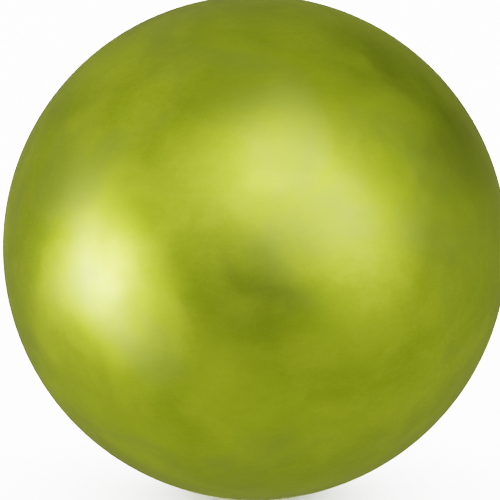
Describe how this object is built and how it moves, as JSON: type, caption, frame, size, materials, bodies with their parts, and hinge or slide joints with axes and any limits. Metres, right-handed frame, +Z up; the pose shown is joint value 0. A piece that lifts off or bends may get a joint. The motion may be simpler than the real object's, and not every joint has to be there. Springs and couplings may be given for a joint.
{
  "type": "juggling ball",
  "caption": "Glossy pearl lime juggling ball: seamless hollow moulded shell part filled with loose salt and closed by a push-in plug.",
  "frame": {"origin": "centre of the ball", "axes": "+Z up, +Y out through the filling plug, so the front at -Y is plain shell"},
  "size_m": [0.07, 0.0696, 0.07],
  "materials": {
    "shell": "pearl lime under a clear gloss coat",
    "plug": "pearl lime, slightly duller than the shell",
    "salt": "dry white salt"
  },
  "bodies": {
    "shell": {"shell": "shell"},
    "plug": {"plug": "plug"},
    "filling": {"salt_bed": "salt", "salt_crystals": "salt"}
  },
  "joints": [
    {"name": "plug_pull", "type": "slide", "parent": "shell", "child": "plug", "axis": [0, 1, 0], "range_m": [0, 0.01]},
    {"name": "filling_roll", "type": "hinge", "parent": "shell", "child": "filling", "pos_m": [0, 0, 0], "axis": [0, 1, 0], "continuous": true}
  ]
}
